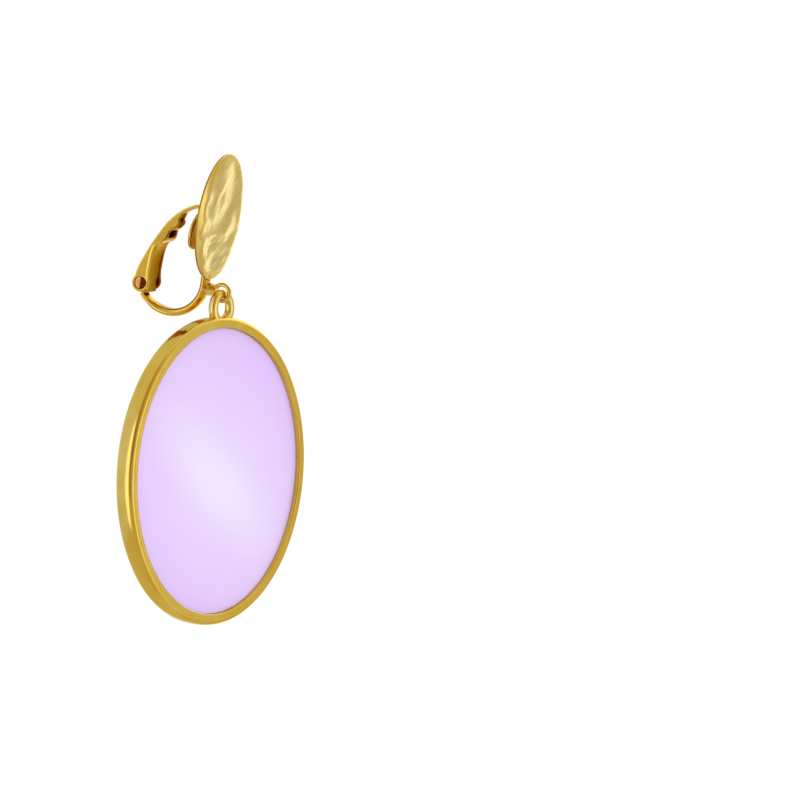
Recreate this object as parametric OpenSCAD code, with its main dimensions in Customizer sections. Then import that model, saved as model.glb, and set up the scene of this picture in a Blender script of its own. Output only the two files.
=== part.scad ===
// Clip-on drop earring: a hammered face disc on a hinged ear clip, with a round framed drop below.
// X runs across the clip, +Y runs back from the face, +Z is up. The origin is in the ear lobe gap.

/* [Face disc] */
// Radius of the round face disc
disc_r = 8.18; // [7.8:0.01:8.5]
// Thickness of the disc at its edge
disc_edge = 0.4; // [0.3:0.05:0.6]
// How far the middle of the disc bulges in front of its edge
disc_bulge = 0.3; // [0.1:0.05:0.6]

/* [Clip frame] */
// Forward lean of the hanging clip, in degrees
clip_lean = 6.2; // [0:0.1:10]
// Thickness of the bow wire, seen from the side
bow_t = 1.0; // [0.8:0.05:1.1]
// Width of the bow wire, across the clip
bow_w = 1.8; // [1.4:0.1:2.2]
// Thickness of the plate behind the disc
plate_t = 0.55; // [0.4:0.05:0.7]
// Width of the plate behind the disc
plate_w = 4.4; // [3:0.1:5]
// Thickness of the flattened end of the bow
tongue_t = 0.6; // [0.5:0.05:0.75]

/* [Eyelet] */
// Radius of the eyelet ring, to the middle of its wire
eyelet_r = 1.05; // [1.05:0.01:1.15]
// Radius of the eyelet wire
eyelet_wire_r = 0.29; // [0.25:0.01:0.3]

/* [Lever] */
// Outer width of the lever at its ears
lever_w = 4.4; // [4.2:0.1:5]
// Thickness of the sheet metal
sheet_t = 0.45; // [0.4:0.05:0.5]
// Radius of the round ears at the hinge
ear_r = 1.18; // [1.1:0.02:1.3]
// Radius of the pivot ends of the bow
pivot_r = 0.75; // [0.6:0.01:0.8]
// Radial clearance of the pivot ends in the ears
pivot_gap = 0.05; // [0.02:0.01:0.08]
// Width of the arm that carries the pad
arm_w = 1.8; // [1.4:0.1:2.2]
// Radius of the round pad
pad_r = 2.5; // [2.2:0.05:2.8]
// Depth of the dished pad
pad_depth = 0.5; // [0.4:0.05:0.6]

/* [Spring leaf] */
// Width of the spring leaf
leaf_w = 3.2; // [2.6:0.1:3.3]
// Thickness of the spring leaf
leaf_t = 0.2; // [0.15:0.01:0.22]

/* [Drop] */
// Outer radius of the drop's frame
drop_r = 19.95; // [19:0.05:21]
// Width of the frame's rim, seen from the front
rim_w = 1.45; // [1.4:0.05:2]
// Depth of the frame from front to back
rim_depth = 2.85; // [2.6:0.05:3.4]
// Radius of the rim's round front shoulder
round_front = 0.6; // [0.2:0.05:0.6]
// Radius of the rim's round back shoulder
round_back = 1.3; // [0.4:0.05:1.3]
// How far the rim stands in front of the inlay
rim_proud = 0.65; // [0.4:0.05:0.9]
// Thickness of the inlay
inlay_t = 0.7; // [0.6:0.05:1.2]
// Thickness of the metal floor behind the inlay
floor_t = 0.5; // [0.4:0.05:0.8]
// Radius of the bail ring, to the middle of its band
bail_r = 1.85; // [1.8:0.01:1.95]
// Thickness of the bail's band
bail_band = 1.1; // [0.9:0.05:1.1]
// Turn of the hanging drop about the vertical, in degrees
drop_yaw = 12.7; // [0:0.1:15]
// Backward tilt of the hanging drop, in degrees
drop_tilt = 1.8; // [0:0.1:4]
// Sideways swing of the hanging drop in its own plane, in degrees
drop_roll = 2.0; // [0:0.1:4]

/* [Hidden] */
$fn = 64;
gold = "#d9a62e";
pale_gold = "#dfc477";
lilac = "#e2ccff";

// Gap between pieces that are bonded or seated together
seat = 0.05;

// Small overlap that joins two parts of one solid
lap = 0.02;

// The clip's own side view: Y runs back from the bow's front, which is at bow_front, and Z runs up
lobe = [1.71, -2.45];
hinge = [8.80, -10.23];
bow_front = 0.25;
bow_y = bow_front + bow_t / 2;
front_arc_r = 4.35;
front_arc = [bow_y + front_arc_r, -9.15];
back_arc_r = 5.0;
back_arc = [front_arc[0], front_arc[1] - front_arc_r + back_arc_r];
tongue_from = -54;
tongue_to = -41;
barrel_r = 0.52;
foot_z = [-9.23, -7.2];
notch = 0.3;
ear_gap = lever_w - 2 * sheet_t - 0.1;
pivot_l = lever_w - 0.2;

// Face disc as it is bonded to its plate: middle, lean and turn in the clip's frame, in degrees
disc_at = [0.11, -0.22];
disc_lean = 0.5;
disc_turn = 2.3;
plate_y = disc_edge / 2 + seat;
plate_z = [-4.4, 1.4];
plate_web_top = -5.2;

// Eyelet ring with its lug, and the point where the bail's band hangs in the ring
eyelet = [-1.72, -9.82];
lug_y = [-1.0, 0.62];
lug_r = [0.72, 0.9];
lug_rise = 0.15;
hang = [-1.75, -9.945];
bail_corner = 0.45;

// Lever in side view
arm_arc = [0.66, -5.73];
arm_arc_r = 7.08;
arm_bend_r = 0.72;
arm_bend = [3.05, 0.164];
arm_bend_from = atan2(arm_bend[1] - arm_arc[1], arm_bend[0] - arm_arc[0]);
pad_tilt = 6;
slope = 24;
heel_r = 8.15;
heel_z = -7.2;
web_end_z = -8.9;
slope_top = arm_arc + arm_arc_r * [cos(slope), sin(slope)];
heel_top = [slope_top[0] + (slope_top[1] - heel_z) * tan(slope), heel_z];
heel_arc = heel_top - heel_r * [cos(slope), sin(slope)];

// Half width of the lever at each height: [height, half width]
lever_half = [
    [-13, lever_w / 2],
    [-5.0, lever_w / 2],
    [-3.3, lever_w / 2 - 0.55],
    [-1.7, arm_w / 2 + 0.22],
    [-0.7, arm_w / 2],
    [2, arm_w / 2]
];

// Front edge of the side wings from the ear up to the arm, as [distance back, height]
wing_front = [
    [7.74, -9.75], [7.84, -9.1], [7.86, -8.4], [7.80, -7.4], [7.74, -6.5], [7.64, -5.8], [7.48, -5.25],
    [7.26, -4.93], [6.93, -4.75], [6.60, -4.5], [6.33, -4.12], [6.17, -3.75], [6.09, -3.3],
    [5.98, -3.0], [5.72, -2.78], [5.38, -2.5], [5.09, -2.15], [4.96, -1.76], [5.12, -1.42]
];

// Folded front plate that holds the spring leaf, side outline, and the slot through it
fold_outline = [
    [7.08, -4.83], [6.71, -4.63], [6.37, -4.26], [6.17, -3.85], [6.09, -3.4], [5.98, -3.0],
    [5.72, -2.75], [5.6, -2.1], [5.98, -1.95], [6.1, -2.55], [6.38, -2.85], [6.5, -3.3],
    [6.62, -3.75], [6.85, -4.2], [7.14, -4.78]
];
slot_at = [6.3, -3.5];
slot_size = [2.4, 0.95];

// Spring leaf in side view: its front face where it hangs straight, its knee and its ends
leaf_y = 7.98;
leaf_knee_r = 7.1;
leaf_knee_z = -8.0;
leaf_low = -11.45;
leaf_end = 1.6;
leaf_room = 0.1;

// Drop in its own frame: the bail's band hangs at the origin
inner_r = drop_r - rim_w;
bail_rise = 1.083;
inlay_y = -0.1;
inlay_z = -(drop_r + bail_rise + bail_r);

// Points along an arc about c, from angle a0 to a1
function arc(c, r, a0, a1, n = 12) =
    [for (i = [0:n]) let (a = a0 + (a1 - a0) * i / n) c + r * [cos(a), sin(a)]];

// Extrudes a side view outline across the clip, to width w about the middle
module across(w) {
    rotate([90, 0, 90])
        translate([0, 0, -w / 2])
            linear_extrude(w) children();
}

// Sweeps a section round an arc of the side view; the section is [radial, across]
module sweep(c, r, a0, a1) {
    translate([0, c[0], c[1]])
        rotate([90, 0, 90])
            rotate([0, 0, a0])
                rotate_extrude(angle = a1 - a0, $fn = 128)
                    translate([r, 0]) children();
}

// Section with round ends, t thick and w wide
module wire_section(t, w) {
    square([t, w - t], center = true);
    for (s = [-1, 1])
        translate([0, s * (w - t) / 2]) circle(d = t);
}

// Section with round corners, a by b
module round_section(a, b, r) {
    square([a - 2 * r, b], center = true);
    square([a, b - 2 * r], center = true);
    for (i = [-1, 1], j = [-1, 1])
        translate([i * (a / 2 - r), j * (b / 2 - r)]) circle(r = r);
}

// Moves the clip's side view frame to the row frame
module clip_space() {
    rotate([clip_lean, 0, 0])
        translate([0, -lobe[0], -lobe[1]]) children();
}

// Moves the face disc's own frame to the clip's frame
module on_disc() {
    translate([0, disc_at[0], disc_at[1]])
        rotate([disc_lean, 0, 0])
            rotate([0, 0, disc_turn]) children();
}

// Moves the drop's frame to the row frame, hanging in the eyelet
module drop_space() {
    clip_space()
        translate([0, hang[0], hang[1]])
            rotate([-clip_lean, 0, 0])
                rotate([-drop_tilt, 0, -drop_yaw])
                    rotate([0, drop_roll, 0]) children();
}

// Round face disc with a shallow bulge to the front
module face_disc() {
    steps = 8;
    bulge_r = (pow(disc_r, 2) + pow(disc_bulge, 2)) / (2 * disc_bulge);
    front = [for (i = [0:steps]) let (x = disc_r * (1 - i / steps))
        [x, disc_edge / 2 + disc_bulge - bulge_r + sqrt(pow(bulge_r, 2) - pow(x, 2))]];
    color(pale_gold)
        clip_space()
            on_disc()
                rotate([90, 0, 0])
                    rotate_extrude($fn = 128)
                        polygon(concat([[0, -disc_edge / 2], [disc_r, -disc_edge / 2]], front));
}

// Plate on the back of the disc
module mounting_plate() {
    on_disc() {
        for (z = plate_z)
            translate([0, plate_y, z])
                rotate([-90, 0, 0]) cylinder(r = plate_w / 2, h = plate_t);
        translate([-plate_w / 2, plate_y, plate_z[0]])
            cube([plate_w, plate_t, plate_z[1] - plate_z[0]]);
    }
}

// Thick foot of the bow and the web that runs up into the plate, filed flat where the disc lies on them
module bow_foot() {
    web_y = disc_at[0] + plate_y + plate_t / 2;
    difference() {
        union() {
            translate([0, bow_y, foot_z[0]])
                linear_extrude(foot_z[1] - foot_z[0])
                    rotate([0, 0, 90]) wire_section(bow_t - lap, bow_w - lap);
            across(bow_w - bow_t / 2)
                polygon([[bow_y, foot_z[1] - lap], [bow_y + bow_t / 2 - lap, foot_z[1] - lap],
                    [web_y + plate_t / 2 - lap, plate_web_top], [web_y, plate_web_top]]);
        }
        on_disc()
            translate([0, plate_y + lap, 0])
                rotate([90, 0, 0]) cylinder(r = disc_r + seat, h = bow_t, $fn = 128);
    }
}

// Bow below the ear lobe, from the disc round to the hinge, flattened in steps
module bow() {
    steps = 3;
    step_a = 4;
    tongue_w = bow_w - 0.1;
    round_to = tongue_from - steps * step_a;
    tongue_root = arc(back_arc, back_arc_r - tongue_t / 2, tongue_to, tongue_to - 2, 1);
    tongue_heel = arc(back_arc, back_arc_r + tongue_t / 2, tongue_to - 2, tongue_to, 1);
    sweep(front_arc, front_arc_r, 180, 270) wire_section(bow_t, bow_w);
    sweep(back_arc, back_arc_r, -90, round_to + 1) wire_section(bow_t, bow_w);
    for (i = [1:steps])
        sweep(back_arc, back_arc_r, round_to + (i - 1) * step_a, round_to + i * step_a + 1)
            wire_section(bow_t + (tongue_t - bow_t) * i / (steps + 1), bow_w - 0.02 * i);
    sweep(back_arc, back_arc_r, tongue_from, tongue_to) square([tongue_t, tongue_w], center = true);
    across(tongue_w)
        polygon(concat([hinge - [tongue_t / 2, 0]], tongue_root, tongue_heel,
            [hinge + [tongue_t / 2, 0]]));
}

// Cross bar of the bow, with stepped round ends that turn in the lever's ears, notched in front
module cross_bar() {
    translate([0, hinge[0], hinge[1]])
        difference() {
            rotate([0, 90, 0]) {
                cylinder(r = barrel_r, h = pivot_l, center = true);
                for (s = [-1, 1])
                    translate([0, 0, s * (pivot_l + ear_gap) / 4])
                        cylinder(r = pivot_r, h = (pivot_l - ear_gap) / 2, center = true);
            }
            for (s = [-1, 1])
                translate([s * pivot_l / 2, -pivot_r, 0])
                    cube([2 * notch, 2 * pivot_r, 2 * pivot_r], center = true);
        }
}

// Eyelet ring in the middle plane of the clip, and the lug that carries it
module eyelet_ring() {
    translate([0, eyelet[0], eyelet[1]])
        rotate([0, 90, 0])
            rotate_extrude($fn = 96) translate([eyelet_r, 0]) circle(r = eyelet_wire_r);
    translate([0, lug_y[0], eyelet[1] + lug_rise])
        rotate([-90, 0, 0])
            cylinder(r1 = lug_r[0], r2 = lug_r[1], h = lug_y[1] - lug_y[0]);
}

// Soldered clip frame: plate, bow, cross bar and eyelet in one piece
module clip_frame() {
    bail_room = eyelet_r - eyelet_wire_r;
    color(gold)
        clip_space() {
            mounting_plate();
            bow_foot();
            bow();
            cross_bar();
            difference() {
                eyelet_ring();
                translate([0, eyelet[0], eyelet[1]])
                    rotate([0, 90, 0]) cylinder(r = bail_room, h = 2 * bail_band, center = true);
            }
        }
}

// Outer side outline of the lever, from the ear to the arm
function back_line(inset) = concat(
    arc(heel_arc, heel_r - inset, 2, slope, 8),
    arc(arm_arc, arm_arc_r - inset, slope, arm_bend_from, 14)
);

// Outline seen from the front, narrowed by inset on each side
module lever_front_view(inset) {
    rotate([90, 0, 0])
        translate([0, 0, -15])
            linear_extrude(30)
                polygon(concat(
                    [for (p = lever_half) [p[1] - inset, p[0]]],
                    [for (i = [len(lever_half) - 1:-1:0]) [inset - lever_half[i][1], lever_half[i][0]]]
                ));
}

// Channel of the lever: a web along the back with a wing on each side
module channel() {
    arm_under = arc(arm_arc, arm_arc_r - sheet_t, arm_bend_from, 52, 4);
    cavity_front = 3;
    difference() {
        intersection() {
            across(lever_w) {
                polygon(concat(back_line(0), arm_under,
                    [for (i = [len(wing_front) - 1:-1:0]) wing_front[i]]));
                translate(hinge) circle(r = ear_r);
            }
            lever_front_view(0);
        }
        intersection() {
            across(lever_w)
                polygon(concat([[heel_arc[0] + heel_r - sheet_t, -13]], back_line(sheet_t),
                    [[cavity_front, 0.2], [cavity_front, -13]]));
            lever_front_view(sheet_t);
        }
        translate([0, hinge[0], web_end_z - 2])
            cube([lever_w - 2 * sheet_t, 4, 4], center = true);
    }
}

// Front plate folded in from both wings over the top of the spring leaf, with its round slot
module front_fold() {
    slot_r = slot_size[1] / 2;
    difference() {
        intersection() {
            across(lever_w) polygon(fold_outline);
            lever_front_view(0);
        }
        translate([0, slot_at[0], slot_at[1]])
            rotate([90, 0, 0]) {
                cube([slot_size[0] - slot_size[1], slot_size[1], slot_size[0]], center = true);
                for (s = [-1, 1])
                    translate([s * (slot_size[0] / 2 - slot_r), 0, 0])
                        cylinder(r = slot_r, h = slot_size[0], center = true);
            }
    }
}

// Bent end of the arm and the dished round pad
module arm_and_pad() {
    inner = arm_bend_r - sheet_t;
    sweep(arm_bend, (arm_bend_r + inner) / 2, arm_bend_from - 1, 180 + pad_tilt)
        square([sheet_t, arm_w], center = true);
    rim = 0.42;
    floor = 0.22;
    edge = 0.1;
    reach = pad_r + 0.1;
    translate([0, arm_bend[0], arm_bend[1]])
        rotate([pad_tilt, 0, 0])
            translate([0, -inner, -reach])
                rotate([90, 0, 0]) {
                    rotate_extrude($fn = 96)
                        polygon([[0, 0], [pad_r - edge, 0], [pad_r, edge], [pad_r, pad_depth - edge],
                            [pad_r - edge, pad_depth], [pad_r - rim, pad_depth],
                            [pad_r - rim - edge, floor], [0, floor]]);
                    translate([lap - arm_w / 2, pad_r - rim, lap])
                        cube([arm_w - 2 * lap, reach - pad_r + rim + 4 * lap, sheet_t - 2 * lap]);
                }
}

// Folded sheet lever with its ears, front plate, arm and pad
module lever() {
    color(gold)
        clip_space()
            difference() {
                union() {
                    channel();
                    front_fold();
                    arm_and_pad();
                }
                translate([0, hinge[0], hinge[1]])
                    rotate([0, 90, 0]) cylinder(r = pivot_r + pivot_gap, h = 2 * lever_w, center = true);
            }
}

// Spring leaf held behind the front plate, hanging in front of the cross bar
module spring_leaf() {
    knee = [leaf_y - leaf_knee_r, leaf_knee_z];
    up = leaf_end * [-sin(slope), cos(slope)];
    front = arc(knee, leaf_knee_r, slope, 0, 8);
    back = arc(knee, leaf_knee_r + leaf_t, 0, slope, 8);
    color(gold)
        clip_space()
            intersection() {
                across(leaf_w)
                    polygon(concat([front[0] + up], front, [[leaf_y, leaf_low]],
                        [[leaf_y + leaf_t, leaf_low]], back, [back[len(back) - 1] + up]));
                lever_front_view(sheet_t + leaf_room);
            }
}

// Round frame with a metal floor, and the bail ring on top
module bezel() {
    front = -rim_proud;
    back = front + rim_depth;
    floor_y = inlay_t + seat;
    bevel = 0.15;
    profile = concat(
        [[inner_r, front]],
        arc([drop_r - round_front, front + round_front], round_front, -90, 0, 6),
        arc([drop_r - round_back, back - round_back], round_back, 0, 90, 9),
        [[inner_r, back - bevel], [inner_r, floor_y + floor_t], [0, floor_y + floor_t], [0, floor_y],
            [inner_r, floor_y]]
    );
    color(gold)
        drop_space() {
            translate([0, inlay_y, inlay_z])
                rotate([-90, 0, 0])
                    rotate_extrude($fn = 160) polygon(profile);
            intersection() {
                translate([0, 0, -bail_r])
                    rotate([90, 0, 0])
                        rotate_extrude($fn = 96)
                            translate([bail_r, 0]) round_section(bail_band, bail_band, bail_corner);
                translate([-drop_r / 2, -drop_r / 2, inlay_z + inner_r + 2 * bevel]) cube(drop_r);
            }
        }
}

// Lilac inlay set in the frame
module inlay() {
    color(lilac)
        drop_space()
            translate([0, inlay_y, inlay_z])
                rotate([-90, 0, 0])
                    cylinder(r = inner_r - seat, h = inlay_t, $fn = 160);
}

face_disc();
clip_frame();
lever();
spring_leaf();
bezel();
inlay();
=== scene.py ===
"""Clip-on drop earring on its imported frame: the visible pieces, their metal and inlay, camera and light."""
import math
import bpy
import bmesh
from mathutils import Matrix, Vector, noise


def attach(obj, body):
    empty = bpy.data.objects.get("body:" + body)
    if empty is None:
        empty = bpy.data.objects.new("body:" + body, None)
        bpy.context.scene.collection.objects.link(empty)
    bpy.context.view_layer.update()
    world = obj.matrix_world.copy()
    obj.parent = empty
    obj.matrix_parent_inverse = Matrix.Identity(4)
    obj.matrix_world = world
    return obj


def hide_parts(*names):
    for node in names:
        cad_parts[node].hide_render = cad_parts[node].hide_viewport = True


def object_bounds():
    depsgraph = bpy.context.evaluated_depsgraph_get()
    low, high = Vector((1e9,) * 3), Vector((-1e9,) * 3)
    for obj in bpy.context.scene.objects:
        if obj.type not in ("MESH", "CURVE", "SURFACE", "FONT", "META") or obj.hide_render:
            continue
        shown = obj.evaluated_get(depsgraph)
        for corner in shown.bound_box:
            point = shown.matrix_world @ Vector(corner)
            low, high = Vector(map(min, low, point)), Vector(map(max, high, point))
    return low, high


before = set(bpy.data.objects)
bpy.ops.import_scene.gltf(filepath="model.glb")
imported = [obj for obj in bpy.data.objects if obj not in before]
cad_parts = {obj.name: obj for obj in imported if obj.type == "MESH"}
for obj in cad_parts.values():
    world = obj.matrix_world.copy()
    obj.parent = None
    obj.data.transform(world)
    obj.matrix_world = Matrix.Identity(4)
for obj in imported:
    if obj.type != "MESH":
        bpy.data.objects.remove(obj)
CAD_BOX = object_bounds()
MM = 0.001
scene = bpy.context.scene

# Sizes, places and turns in millimetres and degrees, as the part's source has them. LOBE, DISC_AT, HANG and
# HINGE are (y, z) in the clip's own side view.
LEAN = 6.2
LOBE = (1.71, -2.45)
DISC_R = 8.18
DISC_EDGE = 0.4
DISC_BULGE = 0.3
DISC_AT = (0.11, -0.22)
DISC_LEAN = 0.5
DISC_TURN = 2.3
HANG = (-1.75, -9.945)
HINGE = (8.80, -10.23)
SHEET_T = 0.45
DROP_YAW = 12.7
DROP_TILT = 1.8
DROP_ROLL = 2.0
DROP_R = 19.95
RIM_W = 1.45
INNER_R = DROP_R - RIM_W
RIM_FRONT = -0.65
RIM_DEPTH = 2.85
INLAY_T = 0.7
FLOOR_T = 0.5
SEAT = 0.05
INLAY_Y = -0.1
BAIL_R = 1.85
BAIL_BAND = 1.1
BAIL_RISE = 1.083
INLAY_Z = -(DROP_R + BAIL_RISE + BAIL_R)


def turn(axis, degrees):
    return Matrix.Rotation(math.radians(degrees), 4, axis)


# Spaces of the clip, the face disc and the hanging drop, from their own millimetres to the row frame's
CLIP = turn("X", LEAN) @ Matrix.Translation((0, -LOBE[0], -LOBE[1]))
ON_DISC = CLIP @ Matrix.Translation((0, *DISC_AT)) @ turn("X", DISC_LEAN) @ turn("Z", DISC_TURN)
HANG_AT = CLIP @ Vector((0, *HANG))
DROP = Matrix.Translation(HANG_AT) @ turn("Z", -DROP_YAW) @ turn("X", -DROP_TILT) @ turn("Y", DROP_ROLL)
TO_M = Matrix.Scale(MM, 4)


# Mesh helpers
def add_object(name, mesh, smooth=True):
    """Object for a mesh, linked to the scene."""
    obj = bpy.data.objects.new(name, mesh)
    scene.collection.objects.link(obj)
    for poly in mesh.polygons:
        poly.use_smooth = smooth
    return obj


def declare(obj, body, node, looks):
    """Parents a piece to its body's empty, hides the CAD node it stands for and adds its materials."""
    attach(obj, body)
    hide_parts(node)
    for look in looks:
        obj.data.materials.append(look)


def new_piece(name, verts, faces, space, body, node, looks, smooth=True):
    """Piece in metres from millimetre points in the space of a matrix."""
    mesh = bpy.data.meshes.new(name)
    place = TO_M @ space
    mesh.from_pydata([place @ Vector(v) for v in verts], [], faces)
    mesh.validate()
    obj = add_object(name, mesh, smooth)
    declare(obj, body, node, looks)
    return obj


def lathe(profile, steps, to_point):
    """Turns (radius, height) points round an axis; a point at radius 0 becomes a pole."""
    verts, faces, rings = [], [], []
    for r, h in profile:
        if r == 0:
            rings.append([len(verts)] * steps)
            verts.append(to_point(0, 0, h))
            continue
        rings.append(list(range(len(verts), len(verts) + steps)))
        for i in range(steps):
            a = 2 * math.pi * i / steps
            verts.append(to_point(r * math.cos(a), r * math.sin(a), h))
    for low, high in zip(rings, rings[1:]):
        for i in range(steps):
            j = (i + 1) % steps
            quad = [low[i], low[j], high[j], high[i]]
            face = [v for k, v in enumerate(quad) if v != quad[k - 1]]
            if len(face) > 2:
                faces.append(face)
    return verts, faces


def turned_over(faces):
    return [list(reversed(face)) for face in faces]


def softened(node, name, body, voxel, passes, looks):
    """Copy of a CAD node with fused joins and soft edges, remeshed at a voxel size in millimetres."""
    weld = 1e-4
    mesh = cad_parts[node].data.copy()
    mesh.name = name
    mesh.materials.clear()
    obj = add_object(name, mesh)
    bm = bmesh.new()
    bm.from_mesh(mesh)
    bmesh.ops.scale(bm, vec=[1 / MM] * 3, verts=bm.verts)
    bmesh.ops.remove_doubles(bm, verts=bm.verts, dist=weld)
    bm.to_mesh(mesh)
    bm.free()
    remesh = obj.modifiers.new("remesh", "REMESH")
    remesh.mode = "VOXEL"
    remesh.voxel_size = voxel
    smooth = obj.modifiers.new("smooth", "SMOOTH")
    smooth.factor = 0.5
    smooth.iterations = passes
    shown = obj.evaluated_get(bpy.context.evaluated_depsgraph_get())
    done = bpy.data.meshes.new_from_object(shown)
    obj.modifiers.clear()
    obj.data = done
    done.transform(TO_M)
    for poly in done.polygons:
        poly.use_smooth = True
    declare(obj, body, node, looks)
    return obj


def between(rows, column, z):
    """Value of a table's column at height z; its rows run downwards and start with their height."""
    if z >= rows[0][0]:
        return rows[0][column]
    for high, low in zip(rows, rows[1:]):
        if z >= low[0]:
            t = (high[0] - z) / (high[0] - low[0])
            return high[column] + (low[column] - high[column]) * t
    return rows[-1][column]


def share(value):
    """Value kept from 0 to 1."""
    return min(1.0, max(0.0, value))


# Node helpers
class Graph:
    """Short way to build a node tree. Inputs are given as a dict of values or other nodes' outputs."""

    # Numbers of a Mix node's colour sockets, because its other kinds of socket have the same names
    MIX_A, MIX_B, MIX_RESULT = 6, 7, 2

    def __init__(self, tree):
        self.tree = tree

    def feed(self, socket, value):
        if isinstance(value, bpy.types.NodeSocket):
            self.tree.links.new(value, socket)
        elif socket.type == "RGBA":
            socket.default_value = (*value, 1)
        else:
            socket.default_value = value

    def add(self, kind, inputs=None, **settings):
        node = self.tree.nodes.new(kind)
        for key, value in settings.items():
            setattr(node, key, value)
        for key, value in (inputs or {}).items():
            self.feed(node.inputs[key], value)
        return node

    def noise(self, vector, scale, detail, rough=0.5, distortion=0.0):
        inputs = {"Vector": vector, "Scale": scale, "Detail": detail, "Roughness": rough,
                  "Distortion": distortion}
        return self.add("ShaderNodeTexNoise", inputs).outputs["Fac"]

    def ramp(self, value, stops):
        """Colour by value, from rows of (value, colour)."""
        node = self.add("ShaderNodeValToRGB", {"Fac": value})
        elements = node.color_ramp.elements
        while len(elements) < len(stops):
            elements.new(0.5)
        for element, (at, colour) in zip(elements, stops):
            element.position = at
            element.color = (*colour, 1)
        return node.outputs["Color"]

    def remap(self, value, low, high, start=0.3, end=0.7, kind="LINEAR"):
        """Brings a value that runs from start to end to one that runs from low to high."""
        inputs = {"Value": value, "From Min": start, "From Max": end, "To Min": low, "To Max": high}
        return self.add("ShaderNodeMapRange", inputs, interpolation_type=kind).outputs["Result"]

    def ease(self, value, start=0.0, end=1.0):
        return self.remap(value, 0.0, 1.0, start, end, "SMOOTHSTEP")

    def mix(self, amount, a, b):
        """Colour a where the amount is 0, and b where it is 1."""
        inputs = {"Factor": amount, self.MIX_A: a, self.MIX_B: b}
        return self.add("ShaderNodeMix", inputs, data_type="RGBA").outputs[self.MIX_RESULT]

    def calc(self, operation, *values):
        return self.add("ShaderNodeMath", dict(enumerate(values)), operation=operation).outputs[0]


class Look(Graph):
    """Node tree of a new material."""

    def __init__(self, name):
        self.material = bpy.data.materials.new(name)
        self.material.use_nodes = True
        super().__init__(self.material.node_tree)
        self.coords = self.add("ShaderNodeTexCoord").outputs["Object"]

    def surface(self, **inputs):
        """Sets or links the shader's inputs, and gives the finished material."""
        shader = self.tree.nodes["Principled BSDF"]
        for key, value in inputs.items():
            self.feed(shader.inputs[key.replace("_", " ")], value)
        return self.material

    def mapped(self, scale=(1, 1, 1), turned=(0, 0, 0), at=(0, 0, 0), kind="POINT"):
        """Place on the object, scaled, turned (in radians) and moved."""
        inputs = {"Vector": self.coords, "Location": at, "Rotation": turned, "Scale": scale}
        return self.add("ShaderNodeMapping", inputs, vector_type=kind).outputs["Vector"]

    def ball(self, at, size, turned=(0, 0, 0)):
        """1 at a place in the row frame, falling to 0 at the size round it, both in millimetres."""
        inputs = {"Vector": self.mapped([s * MM for s in size], turned, at * MM, "TEXTURE")}
        return self.add("ShaderNodeTexGradient", inputs, gradient_type="SPHERICAL").outputs["Fac"]

    def bump(self, height, strength, distance, **under):
        """Normal with small heights on it; Normal=... is the one that they lie on."""
        inputs = {"Height": height, "Strength": strength, "Distance": distance, **under}
        return self.add("ShaderNodeBump", inputs).outputs["Normal"]


# Materials
def polished_gold(name, light, deep, rough=(0.1, 0.2), peel=0.25, hollow_shade=None, far=None):
    """Plated gold: uneven tone, orange peel and fine scratches. Painted shade may darken its hollows and its
    far side.
    """
    far_side = (-0.0017, 0.0009)
    hollow_reach, hollow_open = 0.003, (0.15, 0.75)
    peel_depth = 0.00004
    scratch, scratch_depth = 0.08, 0.00001
    look = Look(name)
    tone = look.ramp(look.noise(look.coords, scale=260, detail=3, rough=0.6), [(0.3, deep), (0.7, light)])
    # Painted shade: the colour turns darker towards +X, the far side
    if far:
        across = look.add("ShaderNodeSeparateXYZ", {"Vector": look.coords}).outputs["X"]
        tone = look.mix(look.remap(across, 0.0, 1.0, *far_side), tone, far)
    # Painted shade: darker orange-brown where ambient occlusion finds a hollow
    if hollow_shade:
        shade = look.add("ShaderNodeAmbientOcclusion", {"Distance": hollow_reach}, samples=12)
        tone = look.mix(look.remap(shade.outputs["AO"], 0.0, 1.0, *hollow_open), hollow_shade, tone)
    smear = look.noise(look.mapped((1, 1, 3)), scale=900, detail=4, rough=0.65)
    dimples = look.noise(look.coords, scale=420, detail=2)
    scratches = look.noise(look.mapped((1, 1, 0.2), (0.3, 0.2, 0.1)), scale=5200, detail=2, rough=0.6)
    peeled = look.bump(dimples, peel, peel_depth)
    return look.surface(Base_Color=tone, Metallic=1.0, Specular_Tint=(0.95, 0.78, 0.42),
                        Roughness=look.remap(smear, *rough),
                        Normal=look.bump(scratches, scratch, scratch_depth, Normal=peeled))


def hammered_gold():
    """Pale satin gold of the face disc: slanting brush marks, yellower edge, darker orange spot over the
    bow's foot.
    """
    pale, paler = (0.86, 0.64, 0.25), (0.93, 0.765, 0.36)
    yellow, orange_spot = (0.86, 0.575, 0.10), (0.74, 0.36, 0.03)
    grain_strength, grain_depth = 0.55, 0.00008
    look = Look("hammered_gold_look")

    def brushed(degrees, stretch, **marks):
        """Noise drawn out along a slant across the disc."""
        slant = (0, math.radians(-degrees), 0)
        return look.noise(look.mapped((stretch, 1, 1), slant, kind="TEXTURE"), **marks)

    def spot(x, z, size):
        return look.ball(ON_DISC @ Vector((x, 0, z)), (size, size, size))

    tone = look.ramp(brushed(48, 4, scale=700, detail=4, rough=0.6), [(0.3, pale), (0.7, paler)])
    tone = look.mix(look.remap(spot(0.6, -0.4, 9.4), 0.75, 0.0, 0.10, 0.30), tone, yellow)
    # Darker orange spot at the disc's bottom edge, over the bow's foot
    tone = look.mix(look.remap(spot(-1.0, -8.1, 1.1), 0.0, 0.95, 0.05, 0.75), tone, orange_spot)
    streaks = brushed(40, 7, scale=1700, detail=4, rough=0.6)
    grain = brushed(38, 6, scale=2300, detail=4, rough=0.65, distortion=0.4)
    return look.surface(Base_Color=tone, Metallic=1.0, Specular_Tint=(0.97, 0.86, 0.55),
                        Roughness=look.remap(streaks, 0.12, 0.22),
                        Normal=look.bump(grain, grain_strength, grain_depth))


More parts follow.
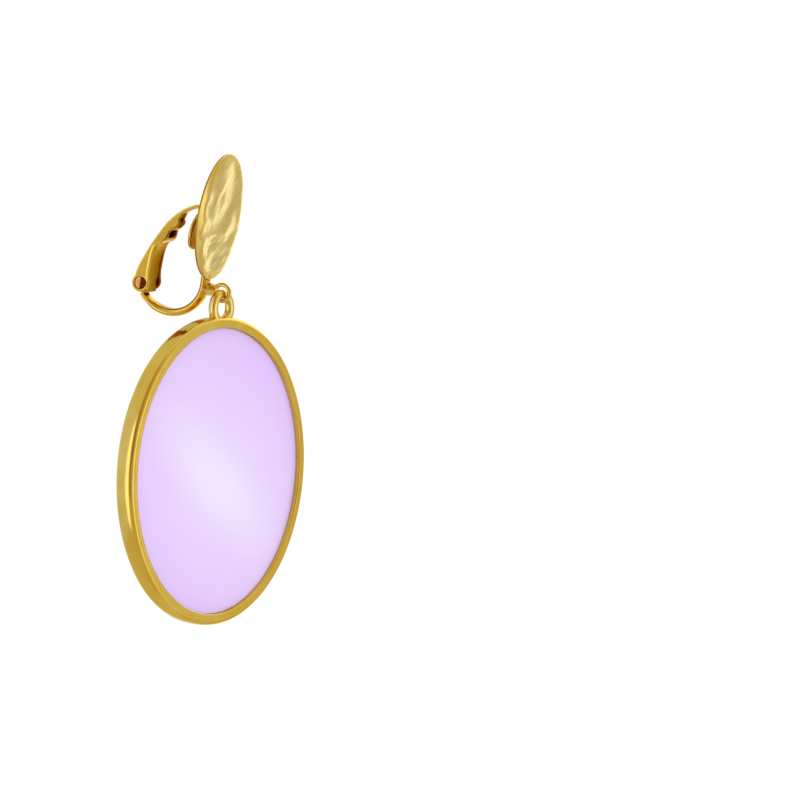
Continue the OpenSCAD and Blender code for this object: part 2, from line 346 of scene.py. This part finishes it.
def lilac():
    """Glossy lilac inlay, deeper at its top and edge, with a soft pale cloud slanting across its middle."""
    deep, pale = (0.735, 0.53, 0.965), (0.87, 0.79, 0.965)
    look = Look("lilac_look")

    def glow(x, z, long, short, slant):
        """Soft slanting patch at a place from the inlay's middle."""
        at = DROP @ Vector((x, INLAY_Y, INLAY_Z + z))
        turned = (0, math.radians(slant), math.radians(-DROP_YAW))
        return look.ease(look.ball(at, (long, long, short), turned))

    cloud = look.noise(look.mapped(turned=(0, 0.6, 0)), scale=60, detail=3)
    level = look.calc("MULTIPLY", cloud, 0.16)
    level = look.calc("MULTIPLY_ADD", glow(1.5, -2, 34, 21, 34), 0.43, level)
    level = look.calc("MULTIPLY_ADD", glow(-0.5, -1, 22, 7.5, 36), 0.40, level)
    return look.surface(Base_Color=look.ramp(level, [(0.08, deep), (1.0, pale)]), Roughness=0.16,
                        Coat_Weight=0.3, Coat_Roughness=0.05)


def paper():
    """White of the floor, faintly uneven and without gloss."""
    look = Look("paper")
    cloud = look.noise(look.coords, scale=40, detail=2)
    tone = look.ramp(cloud, [(0.3, (0.975, 0.975, 0.975)), (0.7, (0.985, 0.985, 0.985))])
    return look.surface(Base_Color=tone, Roughness=0.9, Specular_IOR_Level=0.0)


# The gold by place, each with its light and its deep tone. Several carry painted light or painted shade:
# lighter gold where light falls, darker gold in hollows, notches and the lever's inside.
# Painted shade: the dark orange-brown that the gold takes in hollows
HOLLOW_SHADE_TONE = (0.42, 0.16, 0.008)
EDGE = polished_gold("edge_gold_look", (0.60, 0.40, 0.07), (0.50, 0.30, 0.04))
GOLD = polished_gold("polished_gold_look", (0.85, 0.545, 0.09), (0.78, 0.46, 0.055), hollow_shade=HOLLOW_SHADE_TONE)
# Painted shade: dark brown gold for the notches in the pivot ends and their floors
SHADED_RECESS = polished_gold("recess_painted_shade_look", (0.20, 0.055, 0.008), (0.14, 0.035, 0.005), rough=(0.35, 0.5))
# Painted shade: darker gold inside the lever's folded sheet and on the spring leaf
SHADED_INSIDE = polished_gold("inside_painted_shade_look", (0.66, 0.40, 0.06), (0.58, 0.31, 0.04), rough=(0.12, 0.24),
                       peel=0.4, hollow_shade=HOLLOW_SHADE_TONE, far=(0.42, 0.15, 0.012))
# Painted shade and painted reflection: dark orange-brown on the lever arm's pad
SHADED_PAD = polished_gold("pad_painted_shade_look", (0.44, 0.18, 0.02), (0.30, 0.10, 0.008), rough=(0.15, 0.3),
                    peel=0.8, hollow_shade=HOLLOW_SHADE_TONE)
# Painted light: a lighter, pinkish gold on the faces of the pivot ends
LIT_PIN = polished_gold("pin_painted_light_look", (0.97, 0.51, 0.18), (0.90, 0.42, 0.12), rough=(0.2, 0.3))
SHADE = polished_gold("inner_wall_look", (0.80, 0.62, 0.11), (0.70, 0.52, 0.08), rough=(0.15, 0.3))
# Painted light: a lighter, lemon gold on the lug, the eyelet and the bail
LIT_RINGS = polished_gold("ring_painted_light_look", (0.93, 0.71, 0.23), (0.88, 0.63, 0.16), rough=(0.1, 0.18), peel=0.3)
RIM = polished_gold("rim_gold_look", (0.87, 0.61, 0.13), (0.81, 0.53, 0.08), rough=(0.07, 0.13), peel=0.2)
DISC = hammered_gold()
LILAC = lilac()

# Face disc: hammered streaks that catch the light, as rows of (height, middle across, half width, strength)
STREAKS = [
    [(7.5, 1.5, 0.4, 0.0), (6.7, 1.5, 0.7, 0.8), (5.3, 1.3, 1.2, 1.1), (3.8, 1.5, 1.2, 1.1),
     (3.0, 1.6, 1.0, 1.0), (1.8, 1.3, 1.0, 1.0), (0.8, 0.4, 1.0, 1.0), (-0.2, -1.0, 1.1, 1.1),
     (-1.4, -2.3, 0.8, 0.9), (-2.2, -3.1, 0.5, 0.0)],
    [(5.3, -0.2, 0.4, 0.0), (4.2, -0.6, 0.5, 0.9), (2.8, -1.8, 0.5, 1.0), (1.7, -2.1, 0.6, 1.0),
     (0.6, -2.5, 0.6, 1.0), (-0.7, -3.3, 0.5, 0.0)],
    [(6.4, -4.4, 0.4, 0.0), (5.4, -4.9, 0.5, 0.4), (4.2, -5.3, 0.6, 0.5), (2.8, -5.2, 0.7, 1.1),
     (1.4, -5.3, 0.5, 0.0)],
    [(3.0, -7.4, 0.3, 0.0), (1.6, -7.0, 0.6, 1.0), (0.6, -6.7, 0.8, 1.0), (-0.6, -6.9, 0.5, 0.0)],
    [(0.7, -6.1, 0.3, 0.0), (-0.2, -5.9, 0.5, 1.0), (-1.0, -5.9, 0.5, 0.9), (-2.0, -5.8, 0.3, 0.0)],
    [(0.5, -4.9, 0.3, 0.0), (-0.3, -4.5, 0.4, 0.9), (-1.0, -4.2, 0.4, 0.8), (-1.6, -4.1, 0.3, 0.0)],
    [(-2.2, -4.8, 0.3, 0.0), (-3.0, -4.8, 0.7, 1.0), (-3.9, -4.6, 0.8, 1.1), (-5.0, -4.3, 0.4, 0.0)],
    [(-2.1, -3.0, 0.2, 0.0), (-2.4, -3.2, 0.35, 1.1), (-2.8, -3.5, 0.2, 0.0)],
    [(-2.4, -2.4, 0.2, 0.0), (-2.8, -2.6, 0.35, 1.1), (-3.2, -3.0, 0.2, 0.0)],
    [(-2.9, -2.4, 0.2, 0.0), (-3.3, -2.6, 0.35, 1.1), (-3.8, -3.1, 0.2, 0.0)],
    [(-3.0, -1.8, 0.2, 0.0), (-3.3, -2.0, 0.35, 0.9), (-3.7, -2.4, 0.2, 0.0)],
    [(-4.3, -1.3, 0.3, 0.0), (-5.0, -1.4, 0.45, 1.2), (-5.8, -1.6, 0.45, 1.3), (-6.7, -2.1, 0.35, 1.2),
     (-7.2, -2.6, 0.3, 0.0)],
    [(-4.9, -3.1, 0.3, 0.0), (-5.8, -3.3, 0.6, 1.1), (-6.6, -3.4, 0.6, 1.1), (-7.3, -3.4, 0.3, 0.0)],
    [(-6.4, -0.8, 0.2, 0.0), (-6.8, -1.4, 0.35, 0.9), (-7.1, -2.0, 0.2, 0.0)],
    [(0.9, 4.3, 0.4, 0.0), (-0.2, 4.8, 0.6, 1.0), (-1.0, 4.8, 0.8, 1.1), (-1.8, 4.4, 0.8, 1.0),
     (-2.6, 3.8, 0.5, 0.8), (-3.9, 2.4, 0.3, 0.0)],
    [(-1.0, 3.5, 0.3, 0.0), (-2.3, 2.9, 0.4, 0.6), (-3.6, 2.4, 0.3, 0.0)],
    [(-5.0, 4.4, 0.2, 0.0), (-5.7, 3.7, 0.35, 0.8), (-6.5, 2.9, 0.2, 0.0)],
    [(-4.4, 3.0, 0.2, 0.0), (-5.0, 2.5, 0.35, 0.6), (-5.6, 2.0, 0.2, 0.0)],
    [(-5.7, 1.1, 0.2, 0.0), (-6.2, 0.4, 0.4, 0.6), (-6.8, -0.4, 0.2, 0.0)],
    [(3.8, -6.4, 0.7, 0.0), (1.5, -6.0, 1.1, 0.35), (-2.0, -5.0, 1.3, 0.4), (-5.5, -3.4, 1.1, 0.35),
     (-7.3, -2.4, 0.6, 0.0)],
]
STREAK_WIDEN = 1.9
STREAK_FALL = 3
STREAK_MOST = 1.2
# Slopes that the streaks, the disc's dome, the coarse waves and the fine marks give, the last also by place
STREAK_SLOPE = 0.15
DOME_SLOPE = 0.05
WAVE_SLOPE = 0.03
MARK_SLOPE, LOWER_MARK_SLOPE = 0.04, 0.09
# Direction of the brush marks, and the waves and marks as (scale across, scale along, layer of the noise)
BRUSH_ACROSS, BRUSH_ALONG = 0.64, 0.77
WAVES = (0.6, 0.2, 1.7)
MARKS = (1.9, 0.45, 5.2)


def disc_slope(x, z):
    """Slope across the disc that turns a place of it to the light."""
    total = 0.0
    for band in STREAKS:
        if not band[-1][0] < z < band[0][0]:
            continue
        middle, wide, strength = (between(band, column, z) for column in (1, 2, 3))
        total += strength * math.exp(-abs((x - middle) / (wide * STREAK_WIDEN)) ** STREAK_FALL)
    across = BRUSH_ACROSS * x - BRUSH_ALONG * z
    along = BRUSH_ALONG * x + BRUSH_ACROSS * z
    wave, mark = (noise.noise(Vector((across * scale_across, along * scale_along, layer)))
                  for scale_across, scale_along, layer in (WAVES, MARKS))
    lower_left = share((0.5 - z) / 3) * share((1.5 - x) / 4)
    slope = DOME_SLOPE * x / DISC_R - STREAK_SLOPE * min(STREAK_MOST, total) + WAVE_SLOPE * wave
    return slope + (MARK_SLOPE + LOWER_MARK_SLOPE * lower_left) * mark


class Relief:
    """Height of the hammered face on a grid, in millimetres: the slopes added up row by row."""

    def __init__(self, reach, step):
        self.reach, self.step = reach, step
        self.count = int(2 * reach / step) + 1
        self.rows = [self.row(-reach + step * j) for j in range(self.count)]

    def row(self, z):
        half = math.sqrt(max(0.0, self.reach ** 2 - z * z))
        xs = [-self.reach + self.step * i for i in range(self.count)]
        height, total = [], 0.0
        for x in xs:
            if abs(x) <= half:
                total += disc_slope(x, z) * self.step
            height.append(total)
        inside = [i for i, x in enumerate(xs) if abs(x) <= half] or [0]
        first, last = inside[0], inside[-1]
        for i in inside:
            height[i] -= total * (i - first) / max(1, last - first)
        mean = sum(height[i] for i in inside) / len(inside)
        return [h - mean if abs(x) <= half else 0.0 for x, h in zip(xs, height)]

    def at(self, x, z):
        just_under_last = self.count - 1.001
        u = min(just_under_last, max(0.0, (x + self.reach) / self.step))
        v = min(just_under_last, max(0.0, (z + self.reach) / self.step))
        i, j = int(u), int(v)
        a, b = u - i, v - j
        low = self.rows[j][i] * (1 - a) + self.rows[j][i + 1] * a
        high = self.rows[j + 1][i] * (1 - a) + self.rows[j + 1][i + 1] * a
        return low * (1 - b) + high * b


def make_disc():
    """Face disc with its hammered relief, rolled back along its left edge."""
    steps, rings, lip_steps = 288, 96, 6
    front, back = DISC_EDGE / 2, -DISC_EDGE / 2
    bulge_r = (DISC_R ** 2 + DISC_BULGE ** 2) / (2 * DISC_BULGE)
    lip = 0.12
    roll_w, roll_h, roll_until, roll_fade = 0.9, 0.17, 0.15, 0.1
    relief_from, relief_fade, relief_drop = 0.02, 1.2, 0.04
    edge_band, back_from = 0.035, 0.15
    relief = Relief(DISC_R, 0.1)
    dome = [DISC_R * k / rings for k in range(1, rings) if DISC_R * k / rings < DISC_R - lip]
    rounding = [math.pi / 2 * k / lip_steps for k in range(1, lip_steps + 1)]
    profile = [(0.0, front + DISC_BULGE)]
    profile += [(r, front + DISC_BULGE - bulge_r + math.sqrt(bulge_r ** 2 - r ** 2)) for r in dome]
    profile += [(DISC_R - lip * (1 - math.sin(a)) ** 1.5, front - lip * (1 - math.cos(a)))
                for a in rounding]
    profile += [(DISC_R, -0.04), (DISC_R - 0.03, back + 0.06), (DISC_R - 0.1, back), (DISC_R * 0.6, back),
                (0.0, back)]

    def place(x, z, h):
        r = math.hypot(x, z)
        if h > 0:
            roll = max(0.0, (r - DISC_R + roll_w) / roll_w)
            h -= roll_h * roll * roll * max(0.0, roll_until - x / DISC_R) * min(1.0, h / roll_fade)
        if h > relief_from and r < DISC_R - lip:
            h += (relief.at(x, z) - relief_drop) * min(1.0, (DISC_R - lip - r) / relief_fade)
        return (x, -h, z)

    verts, faces = lathe(profile, steps, place)
    obj = new_piece("disc_face", verts, faces, ON_DISC, "clip", "face_disc",
                    (DISC, EDGE, GOLD))
    to_disc = ON_DISC.inverted()
    for poly in obj.data.polygons:
        at = to_disc @ (poly.center / MM)
        if math.hypot(at.x, at.z) > DISC_R - edge_band:
            poly.material_index = 1
        elif at.y > back_from:
            poly.material_index = 2


# Drop: rounding of the front, how far the lip's inner edge stands in front of its outer one, and the outer
# side's waviness with its scales round and along the drop
FRONT_ROUND = 0.55
LIP_SLOPE = 0.03
WAVINESS = 0.03
WAVY_ROUND, WAVY_ALONG = 0.23, 0.7


def wall_profile():
    """Outer side of the drop's frame from the lip round to the back, set by its radius of curvature."""
    crown_r, back_r = 4.23, 1.2
    crown_from, crown_to = 9, -10
    step = 2
    points = []
    r, y = 0.0, 0.0
    for angle in range(90, -90, -step):
        middle = angle - step / 2
        rho = FRONT_ROUND if middle > crown_from else crown_r if middle > crown_to else back_r
        points.append((r, y))
        r += rho * math.radians(step) * math.sin(math.radians(middle))
        y += rho * math.radians(step) * math.cos(math.radians(middle))
    points.append((r, y))
    outermost = max(p[0] for p in points)
    return [(DROP_R + p[0] - outermost, RIM_FRONT + p[1] * RIM_DEPTH / y) for p in points]


def make_frame_ring():
    """Drop's frame with its floor, turned from a soft-edged profile."""
    floor = INLAY_T + SEAT
    under = floor + FLOOR_T
    back = RIM_FRONT + RIM_DEPTH
    steps, soft, back_soft = 320, 0.12, 0.1
    lip_w = RIM_W - FRONT_ROUND - soft
    lip_y = RIM_FRONT - LIP_SLOPE
    wall_from = DROP_R - 0.6
    shade_from, shade_w = RIM_FRONT + 0.15, 0.05
    edge = [math.radians(90 - 15 * k) for k in range(7)]
    path = [(0.0, floor), (INNER_R * 0.5, floor), (INNER_R, floor), (INNER_R, 0.0)]
    path += [(INNER_R + soft * (1 - math.sin(a)), lip_y + soft * (1 - math.cos(a))) for a in edge]
    path += [(INNER_R + soft + lip_w * t, RIM_FRONT - LIP_SLOPE * (1 - t) ** 2)
             for t in (0.2, 0.4, 0.6, 0.8)]
    path += wall_profile()
    path += [(INNER_R + back_soft, back), (INNER_R, back - back_soft), (INNER_R, under + back_soft),
             (INNER_R - back_soft, under), (INNER_R * 0.5, under), (0.0, under)]

    def place(x, z, h):
        r = math.hypot(x, z)
        if r > wall_from:
            spot = Vector((x * WAVY_ROUND, z * WAVY_ROUND, h * WAVY_ALONG))
            swell = 1 + WAVINESS * noise.noise(spot) / r
            x, z = x * swell, z * swell
        return (x, h + INLAY_Y, z + INLAY_Z)

    verts, faces = lathe(path, steps, place)
    obj = new_piece("drop_frame", verts, turned_over(faces), DROP, "drop", "bezel",
                    (RIM, SHADE))
    to_drop = DROP.inverted()
    for poly in obj.data.polygons:
        at = to_drop @ (poly.center / MM)
        from_wall = abs(math.hypot(at.x, at.z - INLAY_Z) - INNER_R)
        if from_wall < shade_w and shade_from < at.y - INLAY_Y < 0:
            poly.material_index = 1


def make_bail():
    """Bail ring that flares into the frame where it is soldered on."""
    steps, ring = 96, 32
    first, sweep = -78, 336
    half = BAIL_BAND / 2
    squareness = 0.7
    foot_z, foot_flare = -2.35, 0.16
    side_z, side_flare = -0.9, 0.07
    fade = 0.7
    verts, faces = [], []
    for i in range(steps + 1):
        a = math.radians(first + sweep * i / steps)
        middle = Vector((BAIL_R * math.cos(a), 0, -BAIL_R + BAIL_R * math.sin(a)))
        out = Vector((math.cos(a), 0, math.sin(a)))
        foot = share((foot_z - middle.z) / fade)
        flare = 1.0 + foot_flare * foot * foot + side_flare * share((side_z - middle.z) / fade)
        for k in range(ring):
            t = 2 * math.pi * k / ring
            s, q = math.cos(t), math.sin(t)
            u = half * flare * math.copysign(abs(s) ** squareness, s)
            w = half * math.copysign(abs(q) ** squareness, q)
            verts.append(middle + out * u + Vector((0, w, 0)))
    for i in range(steps):
        for k in range(ring):
            j = (k + 1) % ring
            faces.append([i * ring + k, i * ring + j, (i + 1) * ring + j, (i + 1) * ring + k])
    faces.append(list(range(ring)))
    faces.append([steps * ring + k for k in reversed(range(ring))])
    new_piece("bail_ring", verts, faces, DROP, "drop", "bezel", (LIT_RINGS,))


def make_inlay():
    """Lilac inlay with a faint meniscus at its edge."""
    steps, rings = 200, 24
    r = INNER_R - 0.01
    profile = [(0.0, 0.0)] + [(r * k / rings, 0.0) for k in range(1, rings)]
    profile += [(r - 0.12, 0.0), (r - 0.03, -0.04), (r, -0.02)]
    profile += [(r, INLAY_T), (r - 0.5, INLAY_T), (0.0, INLAY_T)]
    verts, faces = lathe(profile, steps, lambda x, z, h: (x, h + INLAY_Y, z + INLAY_Z))
    new_piece("inlay_face", verts, faces, DROP, "drop", "inlay", (LILAC,))


def make_pivot_floors():
    """Floors of the notches in the two pivot ends, dark brown as painted shade, each with a thin shoulder
    inside the ear.
    """
    steps = 48
    profile = [(0.0, 1.66), (0.93, 1.66), (0.93, 1.73), (0.77, 1.73), (0.77, 1.80), (0.0, 1.80)]
    for name, side in (("near_pivot_floor", -1), ("far_pivot_floor", 1)):
        verts, faces = lathe(profile, steps, lambda x, z, h: (side * h, HINGE[0] + x, HINGE[1] + z))
        if side < 0:
            faces = turned_over(faces)
        new_piece(name, verts, faces, CLIP, "clip", "clip_frame", (SHADED_RECESS,), smooth=False)


def make_clip_frame():
    """Bow, plate and eyelet: painted light makes lug and eyelet a lighter gold and the full round pivot ends
    a pinkish gold; painted shade makes their notches dark.
    """
    lug_end, eyelet_top = 0.2, -8.4
    pivot_from, notch_end, pivot_reach = 1.72, 2.03, 0.8
    notch_y = HINGE[0] - 0.05
    grow_side, grow_from, grow_to = 1.62, 0.6, 0.9
    grow_by, grow_fade = 0.09, 0.08
    obj = softened("clip_frame", "clip_frame_metal", "clip", 0.06, 14, (GOLD, LIT_RINGS, SHADED_RECESS, LIT_PIN))
    to_clip = CLIP.inverted()
    for poly in obj.data.polygons:
        at = to_clip @ (poly.center / MM)
        reach = math.hypot(at.y - HINGE[0], at.z - HINGE[1])
        if at.y < lug_end and at.z < eyelet_top:
            poly.material_index = 1
        elif pivot_from < abs(at.x) < notch_end and at.y < notch_y and reach < pivot_reach:
            poly.material_index = 2
        elif abs(at.x) > pivot_from and reach < pivot_reach:
            poly.material_index = 3
    for vert in obj.data.vertices:
        at = to_clip @ (vert.co / MM)
        reach = math.hypot(at.y - HINGE[0], at.z - HINGE[1])
        if abs(at.x) > grow_side and grow_from < reach < grow_to:
            grow = 1 + grow_by * min(1.0, (reach - grow_from) / grow_fade)
            at.y = HINGE[0] + (at.y - HINGE[0]) * grow
            at.z = HINGE[1] + (at.z - HINGE[1]) * grow
            vert.co = (CLIP @ at) * MM


# Lever: its half width and its wings' front edge, as rows of (height, half width, distance back)
LEVER_ROWS = [(-0.7, 0.9, 5.1), (-1.7, 1.12, 4.96), (-3.3, 1.65, 6.09), (-4.12, 1.92, 6.33),
              (-5.25, 2.2, 7.48), (-5.8, 2.2, 7.64), (-6.5, 2.2, 7.74), (-7.4, 2.2, 7.80),
              (-8.4, 2.2, 7.86), (-9.1, 2.2, 7.84), (-9.9, 2.2, 7.72)]


def make_lever():
    """Lever with slightly flared front edges of its wings, and painted shade: darker gold inside the folded
    sheet and on the arm's pad.
    """
    wing_foot, wing_top, arm_from = -9.9, -4.2, -4.4
    reach, flare, fade, play = 0.34, 0.045, 0.4, 0.05
    facing_side, facing_front, arm_facing_front = 0.5, -0.3, -0.35
    obj = softened("lever", "lever_metal", "lever_arm", 0.055, 16, (GOLD, SHADED_INSIDE, SHADED_PAD))
    to_clip = CLIP.inverted()
    for vert in obj.data.vertices:
        at = to_clip @ (vert.co / MM)
        inner = between(LEVER_ROWS, 1, at.z) - SHEET_T - play
        behind = at.y - between(LEVER_ROWS, 2, at.z)
        if wing_foot < at.z < wing_top and behind < reach and abs(at.x) > inner:
            near = 1 - max(0.0, behind) / reach
            ends = min(1.0, (at.z - wing_foot) / fade, (wing_top - at.z) / fade)
            at.x += math.copysign(flare * near * ends, at.x)
            vert.co = (CLIP @ at) * MM
    for poly in obj.data.polygons:
        at = to_clip @ (poly.center / MM)
        out = to_clip.to_3x3() @ poly.normal
        inward = abs(out.x) > facing_side and at.x * out.x < 0
        inner = between(LEVER_ROWS, 1, at.z) - SHEET_T
        if at.z > arm_from:
            poly.material_index = 2 if out.y < arm_facing_front or inward else 0
        elif inward or (out.y < facing_front and at.x > -inner):
            poly.material_index = 1


make_disc()
make_frame_ring()
make_bail()
make_inlay()
make_pivot_floors()
make_clip_frame()
make_lever()
softened("spring_leaf", "spring_leaf_metal", "lever_arm", 0.045, 3, (SHADED_INSIDE,))


# Stage, camera and light
def make_floor():
    """Plain pale floor well below the hanging earring."""
    drop, half = 0.12, 14.0
    z = CAD_BOX[0][2] - drop
    mesh = bpy.data.meshes.new("floor")
    corners = [(-half, -half, z), (half, -half, z), (half, half, z), (-half, half, z)]
    mesh.from_pydata(corners, [], [[0, 1, 2, 3]])
    mesh.materials.append(paper())
    floor = add_object("floor", mesh)
    floor.visible_glossy = False


def make_camera():
    """Camera at the photograph's viewing angle. Its place is counted from the clip's own zero."""
    from_clip = Vector((-531.362, -209.444, 37.138))
    data = bpy.data.cameras.new("camera")
    data.lens = 200.07
    data.sensor_width = 36
    data.clip_start = 0.01
    data.clip_end = 50
    camera = bpy.data.objects.new("camera", data)
    scene.collection.objects.link(camera)
    right = Vector((0.3311, -0.9426, 0.0434)).normalized()
    back = Vector((-0.9398, -0.3253, 0.1045)).normalized()
    up = back.cross(right).normalized()
    right = up.cross(back)
    at = (CLIP @ Vector((0, 0, 0)) + from_clip) * MM
    camera.matrix_world = Matrix.Translation(at) @ Matrix((right, up, back)).transposed().to_4x4()
    scene.camera = camera


# Tints of the studio's light, and the bands of light that polished metal sees round it, as rows of
# (compass degrees from +X, brightness, tint)
PLAIN = (1, 1, 1)
COOL = (0.97, 1.03, 1.4)
PALE = (0.9, 1.05, 1.7)
LEMON = (0.96, 1.02, 1.2)
WARM = (1.0, 0.9, 0.6)
BROWN = (1.0, 0.68, 0.3)
SIDE_LIGHT = [(0, 1.5, LEMON), (10, 1.5, LEMON), (18, 1.2, PALE), (30, 1.05, PALE),
              (44, 0.8, PALE), (60, 0.82, PALE), (96, 0.72, COOL), (138, 0.72, COOL),
              (142, 1.45, COOL), (150, 1.45, COOL), (154, 0.70, PLAIN), (165, 0.60, PLAIN),
              (174, 0.44, BROWN), (204, 0.44, BROWN), (222, 0.50, WARM), (252, 0.56, WARM),
              (270, 0.95, PLAIN), (298, 1.4, PLAIN), (308, 0.74, PLAIN), (325, 0.60, WARM),
              (342, 0.60, PLAIN), (348, 0.82, LEMON), (354, 1.35, LEMON)]
HIGH_LIGHT = [(0, 1.7, PLAIN), (12, 0.95, PALE), (24, 0.62, PALE), (60, 0.78, PALE),
              (96, 0.72, COOL), (138, 0.72, COOL), (142, 1.45, COOL), (150, 1.4, COOL),
              (156, 0.68, PLAIN), (167, 0.5, PLAIN), (174, 0.30, BROWN), (206, 0.32, BROWN),
              (224, 0.42, BROWN), (260, 0.6, WARM), (285, 0.68, WARM), (308, 0.7, PLAIN),
              (320, 0.9, PLAIN), (332, 1.5, PLAIN), (345, 1.8, PLAIN)]
TOP_LIGHT = [(0, 0.95, PLAIN), (20, 0.66, PALE), (60, 0.7, PLAIN), (130, 0.7, PLAIN),
             (160, 0.62, WARM), (185, 0.42, BROWN), (215, 0.45, BROWN), (262, 0.6, WARM),
             (290, 0.7, PLAIN), (312, 0.78, PLAIN), (350, 1.0, PLAIN)]
LOWER_LIGHT = [(0, 1.5, LEMON), (10, 1.5, LEMON), (18, 1.1, PALE), (30, 0.95, PALE),
               (44, 0.75, PALE), (96, 0.70, COOL), (138, 0.72, COOL), (142, 1.6, COOL),
               (150, 1.6, COOL), (154, 0.70, PLAIN), (176, 0.58, WARM), (224, 0.55, WARM),
               (262, 0.62, WARM), (296, 0.80, PLAIN), (308, 0.70, PLAIN), (325, 0.60, WARM),
               (342, 0.60, PLAIN), (348, 0.82, LEMON), (354, 1.35, LEMON)]
LOW_LIGHT = [(0, 0.7, PLAIN), (60, 0.66, PLAIN), (130, 0.62, WARM), (200, 0.6, WARM),
             (260, 0.58, WARM), (290, 0.68, PLAIN), (312, 0.62, PLAIN), (350, 0.7, PLAIN)]
# The other bands take over from the side one between these heights of the direction seen, from -1 to 1
BANDS = [(0.08, 0.24, HIGH_LIGHT), (0.48, 0.66, TOP_LIGHT),
         (-0.18, -0.32, LOWER_LIGHT), (-0.48, -0.66, LOW_LIGHT)]


def make_studio():
    """White studio for the camera and for soft light. Polished metal sees its softboxes and dark gaps."""
    strength, white = 2.0, 1.04
    world = bpy.data.worlds.new("studio")
    scene.world = world
    world.use_nodes = True
    look = Graph(world.node_tree)
    sight = look.add("ShaderNodeTexCoord").outputs["Generated"]
    split = look.add("ShaderNodeSeparateXYZ", {"Vector": sight})
    angle = look.calc("ARCTAN2", split.outputs["Y"], split.outputs["X"])
    compass = look.calc("FRACT", look.calc("ADD", look.calc("DIVIDE", angle, 2 * math.pi), 1.0))

    def band(rows):
        return look.ramp(compass, [(degrees / 360, [level * t / strength for t in tint])
                                   for degrees, level, tint in rows])

    light = band(SIDE_LIGHT)
    for start, end, rows in BANDS:
        light = look.mix(look.ease(split.outputs["Z"], start, end), light, band(rows))
    glossy = look.add("ShaderNodeLightPath").outputs["Is Glossy Ray"]
    light = look.mix(glossy, (white / strength,) * 3, light)
    sky = world.node_tree.nodes["Background"]
    look.feed(sky.inputs["Color"], light)
    look.feed(sky.inputs["Strength"], strength)


def make_key_light():
    """Softbox to the front left, which polished metal doesn't mirror."""
    data = bpy.data.lights.new("key", "AREA")
    data.shape = "SQUARE"
    data.size = 0.5
    data.energy = 0.4
    lamp = bpy.data.objects.new("key", data)
    scene.collection.objects.link(lamp)
    lamp.location = (-0.5, -0.5, 0.5)
    aim = Vector((0, 0, -0.02))
    lamp.rotation_euler = (aim - lamp.location).to_track_quat("-Z", "Y").to_euler()
    lamp.visible_glossy = False


make_floor()
make_camera()
make_studio()
make_key_light()
scene.view_settings.view_transform = "Standard"
scene.view_settings.look = "None"
